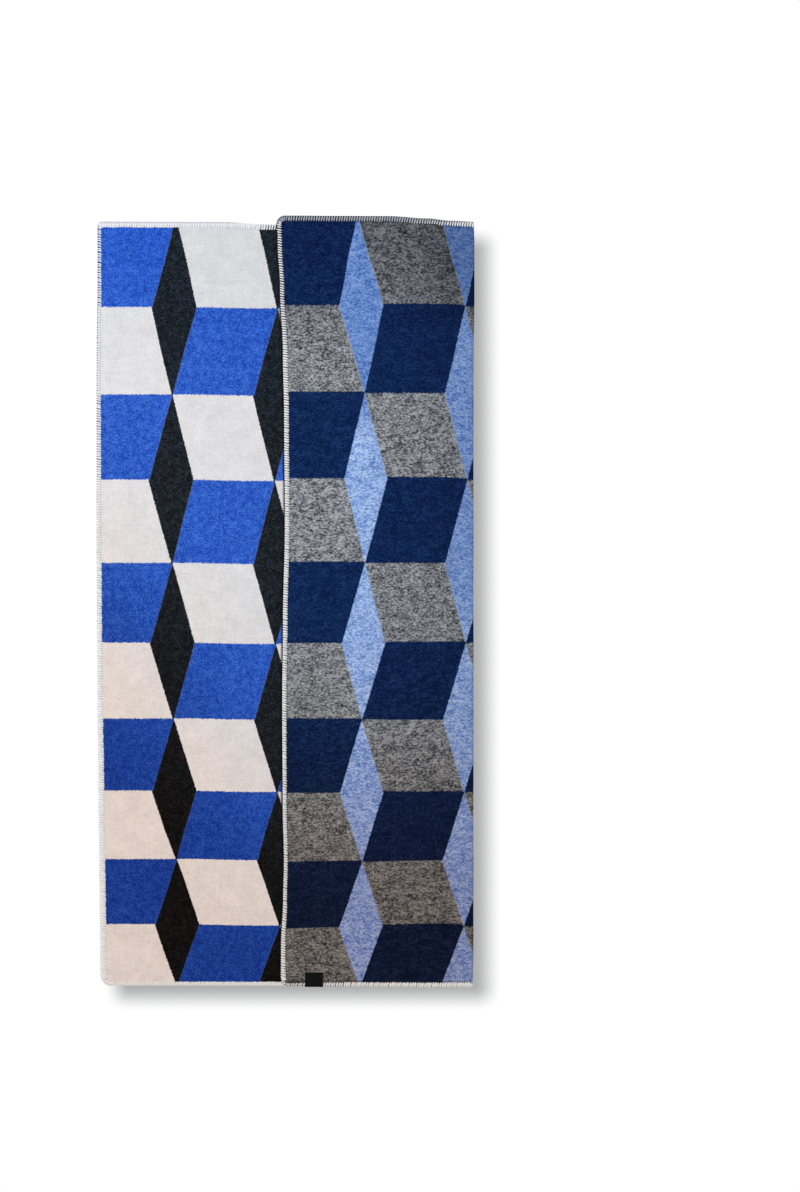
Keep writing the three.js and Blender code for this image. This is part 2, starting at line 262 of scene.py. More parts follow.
def wander(cut, along):
    """How far the pattern lies aside, across the cut cloth and down from the head."""
    value = {key: table_value(WANDER, "height", along, key) for key in WANDER if key != "height"}
    upper = change(cut, *ASIDE_CHANGE)
    aside = value["lower_across"] * (1 - upper) + value["upper_across"] * upper
    lower_share = 1 - change(cut, *LOWER_DOWN_END)
    upper_share = change(cut, *UPPER_DOWN_START)
    lower_down = value["lower_down"] + table_value(ROW_TILT, "across", cut, "down")
    upper_down = value["upper_down"] + value["upper_slant"] * (cut - SLANT_MIDDLE)
    return aside, lower_down * lower_share + upper_down * upper_share


def motif_columns(cut):
    """A place across the cloth, counted in diamond columns."""
    columns = np.arange(len(DIAMOND_COLUMNS)) - 1.0
    return np.interp(cut, np.array(DIAMOND_COLUMNS) * MM, columns)


def motif_rows(along):
    """A place along the cloth, counted in rows of blocks from the head."""
    row = np.arange(ROWS)
    down = ROW_TOP + ROW_DEPTH * row - ROW_SHRINK * row**2 - ROW_SHRINK_MORE * row**3
    return np.interp(FOLDED_LENGTH - along, down * MM, row.astype(float))


def mesh_object(name, mesh):
    piece = bpy.data.objects.new(name, mesh)
    bpy.context.scene.collection.objects.link(piece)
    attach(piece, "root")
    return piece


def mesh_from(bm, name):
    """A new mesh from a bmesh, which is then freed."""
    mesh = bpy.data.meshes.new(name)
    bm.to_mesh(mesh)
    bm.free()
    return mesh


def lift_grown(bm, grown):
    """Lifts the points among newly grown parts by one."""
    points = [part for part in grown if isinstance(part, bmesh.types.BMVert)]
    bmesh.ops.translate(bm, verts=points, vec=(0, 0, 1))


def points_of(mesh):
    points = np.zeros(len(mesh.vertices) * 3, np.float32)
    mesh.vertices.foreach_get("co", points)
    return points.reshape(-1, 3)


def put_points(mesh, points):
    mesh.vertices.foreach_set("co", points.astype(np.float32).ravel())


def face_points(mesh):
    """Which point is at each corner of the faces, and at each face's first corner."""
    corners = np.zeros(len(mesh.loops), np.int32)
    starts = np.zeros(len(mesh.polygons), np.int32)
    mesh.loops.foreach_get("vertex_index", corners)
    mesh.polygons.foreach_get("loop_start", starts)
    return corners, corners[starts]


def turn_outward(mesh, join=False):
    """Turns all faces outward, and joins points that meet if that is asked."""
    bm = bmesh.new()
    bm.from_mesh(mesh)
    if join:
        bmesh.ops.remove_doubles(bm, verts=bm.verts, dist=0.02 * MM)
    bmesh.ops.recalc_face_normals(bm, faces=bm.faces)
    bm.to_mesh(mesh)
    bm.free()
    mesh.shade_smooth()


def steps_between(points):
    """Places from a list of (start, end, step) stretches, with both ends."""
    places = [np.linspace(a, b, max(2, round((b - a) / step) + 1))[:-1] for a, b, step in points]
    return np.append(np.concatenate(places), points[-1][1])


def soft_relief(cut, along):
    """Soft troughs and ridges of the lying cloth, in metres."""
    waves = (
        (0.31, 0.47, 0.35, 0.4),
        (0.23, -0.71, 0.28, 1.9),
        (0.17, 0.29, 0.22, 3.1),
        (-0.41, 0.19, 0.16, 0.8),
    )
    total = np.zeros_like(cut)
    for across_way, along_way, height, start in waves:
        phase = 2 * np.pi * (cut * across_way + along * along_way) / RELIEF_LENGTH + start
        total += height * MM * np.sin(phase)
    return total * RELIEF_SHARE


def make_cloth():
    """The woven cloth: an outer and an inner face, joined round the cut edge."""
    corner = [(0, 4 * MM, 1 * MM), (4 * MM, CORNER_RADIUS, 3 * MM)]
    far_corner = [(CUT_WIDTH - b, CUT_WIDTH - a, s) for a, b, s in reversed(corner)]
    fold_end = LOWER_CUT + FOLD_LENGTH
    settled = fold_end + FOLD_SETTLE
    cuts = steps_between([
        *corner,
        (CORNER_RADIUS, HIDDEN_FROM, SHOWN_STEP),
        (HIDDEN_FROM, LOWER_CUT, HIDDEN_STEP),
        (LOWER_CUT, fold_end, FOLD_LENGTH / 12),
        (fold_end, settled, 5 * MM),
        (settled, CUT_WIDTH - CORNER_RADIUS, SHOWN_STEP),
        *far_corner,
    ])
    end = FINE_END / CUT_LENGTH
    shares = steps_between([
        (0, end, end / 6),
        (end, 1 - end, LENGTH_STEP / CUT_LENGTH),
        (1 - end, 1, end / 6),
    ])
    bm = bmesh.new()
    columns, rows = len(cuts), len(shares)
    bmesh.ops.create_grid(bm, x_segments=columns - 1, y_segments=rows - 1, size=1)
    lift_grown(bm, bmesh.ops.extrude_face_region(bm, geom=bm.faces[:])["geom"])
    mesh = mesh_from(bm, "blanket_cloth_woven")
    flat = points_of(mesh)
    column = np.rint((flat[:, 0] + 1) / 2 * (columns - 1)).astype(int)
    row = np.rint((flat[:, 1] + 1) / 2 * (rows - 1)).astype(int)
    face = np.where(flat[:, 2] > 0.5, 1, -1)
    cut, share = cuts[column], shares[row]
    across, along = cut_place(cut, share)
    from_foot = along - cut_place(cut, np.zeros(len(flat)))[1]
    from_head = cut_place(cut, np.ones(len(flat)))[1] - along
    edge = np.minimum.reduce([cut, CUT_WIDTH - cut, from_foot, from_head])
    margin = 1 - change(edge, MARGIN_WIDTH, MARGIN_RAMP)
    half = CLOTH_THICKNESS / 2 + (MARGIN_THICKNESS - CLOTH_THICKNESS) / 2 * margin
    under_flap = ease((across + 0.5) / 0.06)
    on_top = np.where(cut > LOWER_CUT, face > 0, (face < 0) * (1 - under_flap))
    relief = soft_relief(cut, along) * (1 - margin) * on_top
    put_points(mesh, folded_points(across, along, face * (half + relief), EDGING_RISE * margin))

    aside, down = wander(cut, along)
    motif = np.stack([motif_columns(cut - aside), motif_rows(along + down)], axis=-1)
    corners, first_points = face_points(mesh)
    for name, values in (("cut", np.stack([cut, along], axis=-1)), ("motif", motif)):
        layer = mesh.uv_layers.new(name=name)
        layer.data.foreach_set("uv", values[corners].astype(np.float32).ravel())
    # Painted shade in the gaps between the stitches round the upper layer.
    upper_hem = (cut > UPPER_START) & (along > MARGIN_WIDTH)
    shade = ease((HEM_SHADE_REACH - edge) / HEM_SHADE_RAMP) * upper_hem
    # Painted shadow on the lower layer beside the upper layer's edge: its distance from that edge.
    beside = np.where(cut < LOWER_CUT, -across - sides(along)[2], 1.0)
    for name, values in (("shade_under_stitches", shade), ("shade_beside_upper_layer", beside)):
        layer = mesh.attributes.new(name, "FLOAT", "POINT")
        layer.data.foreach_set("value", values.astype(np.float32))
    inner = (face[first_points] < 0).astype(np.int32)
    mesh.polygons.foreach_set("material_index", inner)
    mesh.update()
    turn_outward(mesh)
    return mesh_object("wool_cloth", mesh)


def cut_edge_path():
    """The whole cut edge as a fine line of flat places, with its running length."""
    side = steps_between([(0, 1, 4 * MM / CUT_LENGTH)])
    near = FOOT_CORNER_RADIUS
    end = steps_between([
        (0, near, 0.7 * MM),
        (near, CUT_WIDTH - near, 4 * MM),
        (CUT_WIDTH - near, CUT_WIDTH, 0.7 * MM),
    ])
    on_side, on_end = len(side) - 1, len(end) - 1
    cuts = np.concatenate([end[:-1], np.full(on_side, CUT_WIDTH), end[:0:-1], np.zeros(on_side)])
    shares = np.concatenate([np.zeros(on_end), side[:-1], np.ones(on_end), side[:0:-1]])
    cuts, shares = np.append(cuts, cuts[0]), np.append(shares, shares[0])
    path = np.stack(cut_place(cuts, shares), axis=-1)
    step = np.linalg.norm(np.diff(path, axis=0), axis=1)
    return path, np.concatenate([[0], np.cumsum(step)]), cuts, shares


def on_path(at, run, path):
    """Places on the closed path at the given ways along it."""
    at = np.mod(at, run[-1])
    return np.stack([np.interp(at, run, path[:, i]) for i in (0, 1)], axis=-1)


def edge_directions(way):
    """Unit steps along the edge, and the inward ones square to them."""
    way = way / np.linalg.norm(way, axis=1)[:, None]
    return way, np.stack([-way[:, 1], way[:, 0]], axis=-1)


def stretch_of_edge(cut, share):
    """The name of the stretch of edge at each place."""
    layer = np.where(cut > UPPER_START, "upper", "lower")
    names = np.where(share > 0.999, np.char.add(layer, " head"), np.char.add(layer, " foot"))
    names = np.where(cut < MM, "open side", names)
    return np.where(cut > CUT_WIDTH - MM, "free side", names)


def whipping_at(cut, share):
    """The whipping's five values at each place of the edge, as the table has them."""
    stretch = stretch_of_edge(cut, share)
    values = np.zeros((len(cut), 5))
    for name, rows in WHIPPING.items():
        here = stretch == name
        along_it = (share if "side" in name else cut)[here]
        places, *columns = np.array(rows).T
        read = [np.interp(along_it, places, column) for column in columns]
        values[here] = np.stack(read, axis=-1)
    return values


def strand_prototype(rings, around):
    """A closed tube on its end, with its rings at whole heights, for one stitch."""
    bm = bmesh.new()
    made = bmesh.ops.create_circle(bm, cap_ends=False, segments=around, radius=1)
    bottom = edges = list({e for v in made["verts"] for e in v.link_edges})
    for _ in range(rings - 1):
        grown = bmesh.ops.extrude_edge_only(bm, edges=edges)["geom"]
        lift_grown(bm, grown)
        edges = [part for part in grown if isinstance(part, bmesh.types.BMEdge)]
    bmesh.ops.holes_fill(bm, edges=bottom + edges, sides=around)
    bmesh.ops.recalc_face_normals(bm, faces=bm.faces)
    return mesh_from(bm, "one_stitch")


# One whip stitch, in millimetres: in from the cut edge, off the middle of the thickness, its
# share of the way along the edge, and how full the strand is there.
STITCH_WAY = (
    (13.4, 0.5, 0.1, 0.35),
    (11.6, 1.75, 0.12, 0.8),
    (5.6, 2.15, 0.25, 1.0),
    (0.6, 1.85, 0.4, 1.0),
    (-1.0, 0.75, 0.5, 0.95),
    (-1.0, -0.75, 0.6, 0.95),
    (0.6, -1.6, 0.7, 1.0),
    (11.6, -1.35, 1.0, 0.8),
    (13.4, -0.4, 1.0, 0.35),
)


def make_edging():
    """The whipped yarn edging: one stitch after another round the whole cut edge."""
    path, run, cuts, shares = cut_edge_path()
    count = round(run[-1] / STITCH_PITCH)
    pitch = run[-1] / count
    at = np.arange(count) * run[-1] / count
    straying = whipping_at(np.interp(at, run, cuts), np.interp(at, run, shares))[:, 4]
    at = np.mod(at + rng.uniform(-1, 1, count) * straying * pitch, run[-1])
    place = on_path(at, run, path)
    near = 2 * MM
    way, inward = edge_directions(on_path(at + near, run, path) - on_path(at - near, run, path))
    whipping = whipping_at(np.interp(at, run, cuts), np.interp(at, run, shares))[:, :4] * MM
    whipping[:, :2] *= rng.uniform(0.9, 1.1, (count, 1))
    whipping[:, 2] *= rng.uniform(0.94, 1.06, count)
    stitch_way = np.array(STITCH_WAY)
    rings = len(stitch_way)
    prototype = strand_prototype(rings, STRAND_SIDES)
    bm = bmesh.new()
    for _ in range(count):
        bm.from_mesh(prototype)
    mesh = mesh_from(bm, "edging_stitches")
    flat = points_of(mesh)
    stitch = np.arange(len(flat)) // (rings * STRAND_SIDES)
    ring = np.rint(flat[:, 2]).astype(int)
    inside, at_rim, bite, inset = whipping[stitch].T
    slant = STITCH_PITCH * rng.uniform(0.9, 1.1, count)[stitch]
    way_in, way_up = stitch_way[:, 0] * MM, stitch_way[:, 1] * MM
    tangent = np.gradient(np.stack([way_in, way_up], axis=-1), axis=0)
    tangent /= np.linalg.norm(tangent, axis=1)[:, None]
    up = np.stack([tangent[:, 1], -tangent[:, 0]], axis=-1)
    full = stitch_way[ring, 3]
    within = np.clip((way_in[ring] - 1 * MM) / (4 * MM), 0, 1)
    sideways = flat[:, 0] * (at_rim + (inside - at_rim) * within) / 2 * full
    thick = flat[:, 1] * STRAND_HEIGHT / 2 * full
    reach = np.where(way_in[ring] > 2 * MM, bite / way_in.max(), 1)
    depth = way_in[ring] * reach + up[ring, 0] * thick + inset
    offset = way_up[ring] + up[ring, 1] * thick
    edgewise = (stitch_way[ring, 2] - 0.5) * slant + sideways
    aside = inward[stitch] * depth[:, None] + way[stitch] * edgewise[:, None]
    across, along = (place[stitch] + aside).T
    put_points(mesh, folded_points(across, along, offset, EDGING_RISE))
    length = np.concatenate([[0], np.cumsum(np.hypot(np.diff(way_in), np.diff(way_up)))])
    strand = mesh.attributes.new("strand", "FLOAT_VECTOR", "POINT")
    values = np.stack([length[ring], flat[:, 0], flat[:, 1]], axis=-1)
    strand.data.foreach_set("vector", values.astype(np.float32).ravel())
    turn_outward(mesh)
    return mesh_object("edging_stitches", mesh)


def make_rim_thread():
    """The thread in the edging's rim; dark as painted shade beside the open side and round the
    upper layer.
    """
    path, _, cuts, shares = cut_edge_path()
    path, cuts, shares = path[:-1], cuts[:-1], shares[:-1]
    inward = edge_directions(np.roll(path, -1, axis=0) - np.roll(path, 1, axis=0))[1]
    count = len(path)
    bm = bmesh.new()
    bmesh.ops.create_grid(bm, x_segments=THREAD_SIDES, y_segments=count, size=1)
    mesh = mesh_from(bm, "rim_thread")
    flat = points_of(mesh)
    turn = (flat[:, 0] + 1) * np.pi
    ring = np.rint((flat[:, 1] + 1) / 2 * count).astype(int) % count
    depth = THREAD_DEPTH + np.cos(turn) * THREAD_HALF_WIDTH
    across, along = (path[ring] + inward[ring] * depth[:, None]).T
    offset = np.sin(turn) * THREAD_HALF_HEIGHT
    put_points(mesh, folded_points(across, along, offset, EDGING_RISE))
    pale = np.isin(stretch_of_edge(cuts, shares), ["lower head", "lower foot"])
    first_points = face_points(mesh)[1]
    mesh.polygons.foreach_set("material_index", pale[ring[first_points]].astype(np.int32))
    turn_outward(mesh, join=True)
    return mesh_object("rim_thread", mesh)


def make_label():
    """The black woven label: a strip bent over the edging of the foot."""
    on_cloth = CLOTH_THICKNESS / 2 + LABEL_CLEARANCE + LABEL_THICKNESS / 2
    on_edging = on_cloth + LABEL_RISE_ON_EDGING
    lip = -EDGING_REACH - 1.3 * MM
    section = np.array([  # how far in from the cut edge, and how high over the cloth's middle
        (LABEL_REACH, on_cloth),
        (27 * MM, on_cloth),
        (17 * MM, on_edging - 0.1 * MM),
        (8 * MM, on_edging),
        (lip + 2.2 * MM, on_edging),
        (lip + 0.5 * MM, on_edging - 0.6 * MM),
        (lip, on_edging - 2 * MM),
        (lip, on_edging - LABEL_LIP),
    ])
    run = np.concatenate([[0], np.cumsum(np.hypot(*np.diff(section, axis=0).T))])
    steps, across_steps = 26, 16
    bm = bmesh.new()
    bmesh.ops.create_grid(bm, x_segments=across_steps, y_segments=steps, size=1)
    free_side = FOLD_LENGTH + sides(np.array([5 * MM]))[2][0]
    for vertex in bm.verts:
        across_share = (vertex.co.x + 1) / 2
        down_share = (vertex.co.y + 1) / 2
        across = free_side - LABEL_FROM_FREE_SIDE - LABEL_WIDTH * across_share
        cut = CUT_WIDTH - (free_side - across)
        depth = np.interp(down_share * run[-1], run, section[:, 0])
        offset = np.interp(down_share * run[-1], run, section[:, 1])
        foot = cut_place(np.array([cut]), np.zeros(1))[1][0]
        place = np.array([[across], [foot + depth], [offset]])
        vertex.co = Vector(folded_points(*place, 0)[0])
    bmesh.ops.recalc_face_normals(bm, faces=bm.faces)
    bmesh.ops.solidify(bm, geom=bm.faces[:], thickness=LABEL_THICKNESS)
    bmesh.ops.recalc_face_normals(bm, faces=bm.faces)
    mesh = mesh_from(bm, "woven_label")
    mesh.shade_smooth()
    return mesh_object("woven_label", mesh)


def linear(red, green, blue):
    """A colour from its everyday 0 to 255 values."""
    channel = [c / 255 for c in (red, green, blue)]
    return (*[c / 12.92 if c <= 0.04045 else ((c + 0.055) / 1.055) ** 2.4 for c in channel], 1)


class Nodes:
    """Adds nodes to one tree, in reading order."""

    def __init__(self, tree):
        self.tree = tree

    def add(self, kind, inputs=None, **settings):
        made = self.tree.nodes.new(kind)
        for key, value in settings.items():
            setattr(made, key, value)
        for key, value in (inputs or {}).items():
            self.feed(made.inputs[key], value)
        return made

    def feed(self, socket, value):
        if isinstance(value, bpy.types.NodeSocket):
            self.tree.links.new(value, socket)
        else:
            socket.default_value = value

    def math(self, operation, *values):
        return self.add("ShaderNodeMath", dict(enumerate(values)), operation=operation).outputs[0]

    def plus(self, a, b):
        return self.math("ADD", a, b)

    def minus(self, a, b):
        return self.math("SUBTRACT", a, b)

    def times(self, a, b):
        return self.math("MULTIPLY", a, b)

    def split(self, vector):
        return self.add("ShaderNodeSeparateXYZ", {0: vector}).outputs

    def grey(self, value):
        return self.add("ShaderNodeCombineXYZ", {0: value, 1: value, 2: value}).outputs[0]

    def value_of(self, attribute):
        return self.add("ShaderNodeAttribute", attribute_name=attribute).outputs[2]

    def mix(self, factor, a, b, blend="MIX"):
        made = self.add("ShaderNodeMix", {0: factor}, data_type="RGBA", blend_type=blend)
        self.feed(made.inputs[6], a)
        self.feed(made.inputs[7], b)
        return made.outputs[2]

    def noise(self, vector, scale, detail, roughness):
        inputs = {"Vector": vector, "Scale": scale, "Detail": detail, "Roughness": roughness}
        return self.add("ShaderNodeTexNoise", inputs).outputs[0]

    def scaled(self, vector, scale):
        made = self.add("ShaderNodeVectorMath", {0: vector, 1: scale}, operation="MULTIPLY")
        return made.outputs[0]

    def spread(self, value, low, high, to_low=0.0, to_high=1.0, smooth=True):
        kind = "SMOOTHSTEP" if smooth else "LINEAR"
        inputs = dict(enumerate((value, low, high, to_low, to_high)))
        return self.add("ShaderNodeMapRange", inputs, interpolation_type=kind).outputs[0]


def new_group(name, inputs, outputs):
    tree = bpy.data.node_groups.new(name, "ShaderNodeTree")
    new_socket = tree.interface.new_socket
    for label, kind, value in inputs:
        socket = new_socket(name=label, in_out="INPUT", socket_type="NodeSocket" + kind)
        if value is not None:
            socket.default_value = value
    for label, kind in outputs:
        new_socket(name=label, in_out="OUTPUT", socket_type="NodeSocket" + kind)
    nodes = Nodes(tree)
    return tree, nodes, nodes.add("NodeGroupInput").outputs, nodes.add("NodeGroupOutput").inputs


def blocks_group():
    """The tumbling-blocks weave: which yarn shows, from a place counted in columns and rows."""
    tree, n, given, out = new_group(
        "tumbling_blocks",
        [("Motif", "Vector", None), ("Place", "Vector", None), ("Diamond Spread", "Float", 0.0),
         ("Second Spread", "Float", 0.0)],
        [("Diamond", "Float"), ("Second Block", "Float"), ("Border Line", "Float")],
    )
    place = given["Place"]
    motif = n.split(given["Motif"])
    loose = n.minus(n.noise(place, 330.0, 3.0, 0.7), 0.5)
    uneven = n.minus(n.noise(n.scaled(place, (-1.0, 1.0, 1.0)), 190.0, 2.0, 0.6), 0.5)
    hairs = n.minus(n.noise(n.scaled(place, (1.0, 0.2, 1.0)), 900.0, 2.0, 0.6), 0.5)
    across = n.plus(motif[0], n.times(loose, 0.024))
    down = n.plus(n.plus(motif[1], n.times(uneven, 0.026)), n.times(hairs, 0.050))
    stepped = n.math("DIVIDE", n.math("FLOOR", n.times(down, PICKS)), PICKS)
    column = n.math("FLOOR", n.plus(across, 0.5))
    off_column = n.minus(across, column)
    turn = n.math("FLOORED_MODULO", n.plus(stepped, column), 2.0)
    opening = n.minus(1.0, n.math("ABSOLUTE", n.minus(turn, 1.0)))
    cell = n.plus(n.math("FLOOR", across), 1.0)
    second = n.math("FLOORED_MODULO", n.plus(cell, n.math("FLOOR", down)), 2.0)
    half = n.times(opening, DIAMOND_HALF_WIDTH)
    half = n.plus(half, n.times(second, given["Diamond Spread"]))
    past = n.minus(n.math("ABSOLUTE", off_column), half)
    diamond = n.math("LESS_THAN", past, 0.0)
    to_row = n.math("ABSOLUTE", n.minus(n.math("FRACT", n.plus(down, 0.5)), 0.5))
    second = n.math("MAXIMUM", second, n.math("LESS_THAN", to_row, given["Second Spread"]))
    line = n.times(n.spread(past, 0.0, BORDER_LINE_WIDTH, 1.0, 0.0), n.minus(1.0, diamond))
    n.feed(out["Diamond"], diamond)
    n.feed(out["Second Block"], second)
    n.feed(out["Border Line"], line)
    return tree


def heather_group():
    """Carded wool: a yarn colour with paler and darker fibres, painted shade tinting head and foot.
    """
    white = (1, 1, 1, 1)
    tree, n, given, out = new_group(
        "heathered_wool",
        [("Coarse", "Float", 0.5), ("Fine", "Float", 0.5), ("Top Share", "Float", 0.0),
         ("Foot Share", "Float", 0.0), ("Yarn", "Color", white), ("Top Tint", "Color", white),
         ("Foot Tint", "Color", white), ("Pale", "Color", white), ("Pale Amount", "Float", 0.2),
         ("Dark", "Color", white), ("Dark Amount", "Float", 0.2)],
        [("Color", "Color")],
    )
    pale = n.times(n.spread(given["Coarse"], 0.49, 0.92, smooth=False), given["Pale Amount"])
    dark = n.times(n.spread(given["Coarse"], 0.51, 0.08, smooth=False), given["Dark Amount"])
    fleck = n.times(n.spread(given["Fine"], 0.60, 0.72), given["Pale Amount"])
    color = n.mix(pale, given["Yarn"], given["Pale"])
    color = n.mix(dark, color, given["Dark"])
    color = n.mix(n.times(fleck, 0.75), color, given["Pale"])
    # Painted shade: the tints darken the yarn, cooler towards the head and warmer towards the foot.
    tint = n.mix(given["Foot Share"], white, given["Foot Tint"])
    tint = n.mix(1.0, tint, n.mix(given["Top Share"], white, given["Top Tint"]), blend="MULTIPLY")
    n.feed(out["Color"], n.mix(1.0, color, tint, blend="MULTIPLY"))
    return tree


def fibre_group():
    """The brushed surface: how the fibres mingle, the weave under them, and their height."""
    tree, n, given, out = new_group(
        "brushed_fibres",
        [("Place", "Vector", None), ("Streak", "Float", 1.0)],
        [("Height", "Float"), ("Coarse", "Float"), ("Fine", "Float"), ("Weave", "Color")],
    )
    stretch = n.add("ShaderNodeCombineXYZ", {0: given["Streak"], 1: 1.0, 2: 1.0}).outputs[0]
    streaky = n.scaled(given["Place"], stretch)
    mingled = n.noise(streaky, 230.0, 4.0, 0.75)
    clump = n.noise(streaky, 70.0, 3.0, 0.6)
    speck = n.noise(streaky, 560.0, 2.0, 0.6)
    lying = []
    for angle in (0.95, -1.15):
        inputs = {"Vector": given["Place"], "Angle": angle}
        turned = n.add("ShaderNodeVectorRotate", inputs, rotation_type="Z_AXIS").outputs[0]
        lying.append(n.noise(n.scaled(turned, (1.0, 0.14, 1.0)), 780.0, 3.0, 0.65))
    hair = n.times(n.plus(*lying), 0.5)
    coarse = n.plus(n.times(mingled, 0.48), n.times(clump, 0.18))
    coarse = n.plus(coarse, n.times(hair, 0.34))
    n.feed(out["Coarse"], n.spread(coarse, 0.395, 0.605))
    n.feed(out["Fine"], speck)
    warp = n.noise(n.scaled(given["Place"], (1.0, 0.09, 1.0)), 320.0, 2.0, 0.5)
    weft = n.noise(n.scaled(given["Place"], (0.07, 1.0, 1.0)), 360.0, 2.0, 0.5)
    cloud = n.noise(given["Place"], 19.0, 3.0, 0.55)
    weave = n.plus(n.plus(warp, weft), n.times(cloud, 2.0))
    weave = n.plus(weave, n.times(speck, 0.9))
    n.feed(out["Weave"], n.grey(n.spread(weave, 1.75, 3.15, 0.91, 1.09, smooth=False)))
    height = n.plus(n.times(hair, 0.7), n.times(mingled, 0.45))
    height = n.plus(height, n.times(clump, 0.5))
    n.feed(out["Height"], n.plus(height, n.times(weft, 0.25)))
    return tree


# The six yarns as everyday colours: over the upper half, and right at the head and at the foot,
# where they carry painted shade, cooler at the head and warmer at the foot; and the paler and
# darker fibres carded into them with their amounts.
YARNS = {
    "off_white": dict(
        yarn=(228, 227, 229), top=(216, 218, 222), foot=(236, 219, 209),
        pale=(244, 244, 246), pale_amount=0.26, dark=(190, 188, 190), dark_amount=0.33),
    "royal_blue": dict(
        yarn=(41, 91, 203), top=(35, 86, 201), foot=(24, 59, 148),
        pale=(96, 146, 232), pale_amount=0.52, dark=(10, 44, 140), dark_amount=0.72),
    "charcoal": dict(
        yarn=(23, 28, 34), top=(22, 28, 36), foot=(14, 12, 12),
        pale=(66, 74, 82), pale_amount=0.52, dark=(8, 10, 13), dark_amount=0.65),
    "grey_heather": dict(
        yarn=(122, 127, 134), top=(85, 89, 97), foot=(98, 93, 90),
        pale=(190, 193, 198), pale_amount=0.94, dark=(40, 42, 48), dark_amount=1.00),
    "navy": dict(
        yarn=(11, 36, 81), top=(8, 30, 73), foot=(11, 22, 46),
        pale=(48, 80, 138), pale_amount=0.39, dark=(4, 16, 48), dark_amount=0.65),
    "light_blue": dict(
        yarn=(143, 178, 237), top=(101, 139, 210), foot=(128, 145, 193),
        pale=(206, 226, 250), pale_amount=0.78, dark=(72, 108, 184), dark_amount=0.86),
}


def matt_material(name, roughness, specular, sheen=0.0):
    """A new matt material: itself, its nodes, its shader and the Object coordinates."""
    material = bpy.data.materials.new(name)
    material.use_nodes = True
    shader = material.node_tree.nodes["Principled BSDF"]
    shader.inputs["Roughness"].default_value = roughness
    shader.inputs["Specular IOR Level"].default_value = specular
    shader.inputs["Sheen Weight"].default_value = sheen
    n = Nodes(material.node_tree)
    return material, n, shader, n.add("ShaderNodeTexCoord").outputs["Object"]


def feed_shader(n, shader, color, strength, distance, height):
    """Gives a shader its colour, and a bump of a strength and a distance from a height."""
    n.feed(shader.inputs["Base Color"], color)
    inputs = {"Strength": strength, "Distance": distance, "Height": height}
    n.feed(shader.inputs["Normal"], n.add("ShaderNodeBump", inputs).outputs[0])


# The two faces of the cloth: their yarns, the colour and the amount of the line beside the
# diamonds, how far the fibres are stretched, where the foot's warm painted shade begins and ends
# and how it slants across, the painted shade towards the fold, and how far diamonds and second
# blocks spread.
FACES = {
    "back_wool": dict(
        yarns=("grey_heather", "navy", "light_blue"), line=(176, 186, 204), streak=0.6,
        foot_slant=0.4, foot_reach=(1.30, 0.34), fold_shade=0.22,
        diamond_spread=0.0, second_spread=0.0095),
    "front_wool": dict(
        yarns=("royal_blue", "off_white", "charcoal"), line=(96, 110, 136), streak=1.0,
        foot_slant=1.2, foot_reach=(1.58, 0.54), fold_shade=0.0,
        diamond_spread=0.006, second_spread=0.0),
}
LINE_AMOUNT = 0.6
# Painted shade under the edging's stitches, seen in the gaps between them.
SHADE_UNDER_STITCHES = (34, 39, 50)
UNDER_STITCHES_AMOUNT = 0.85
# Painted shadow on the lower layer beside the upper layer's hovering edge.
SHADE_BESIDE_UPPER = (20, 16, 15)
BESIDE_UPPER_AMOUNT = 0.8


def diamond_top_share(n, along, across):
    """How much of its head tint, a painted shade, a diamond has. Beside the fold it reaches further
    down.
    """
    elsewhere = n.spread(along, 1.42, 1.54)
    by_fold = n.times(n.spread(across, 1.18, 1.10), n.spread(across, 0.90, 0.96))
    fold_top = n.plus(n.spread(along, 0.80, 1.15, 0.0, 0.6), n.spread(along, 1.65, 1.85, 0.0, 0.4))
    return n.plus(n.times(elsewhere, n.minus(1.0, by_fold)), n.times(fold_top, by_fold))


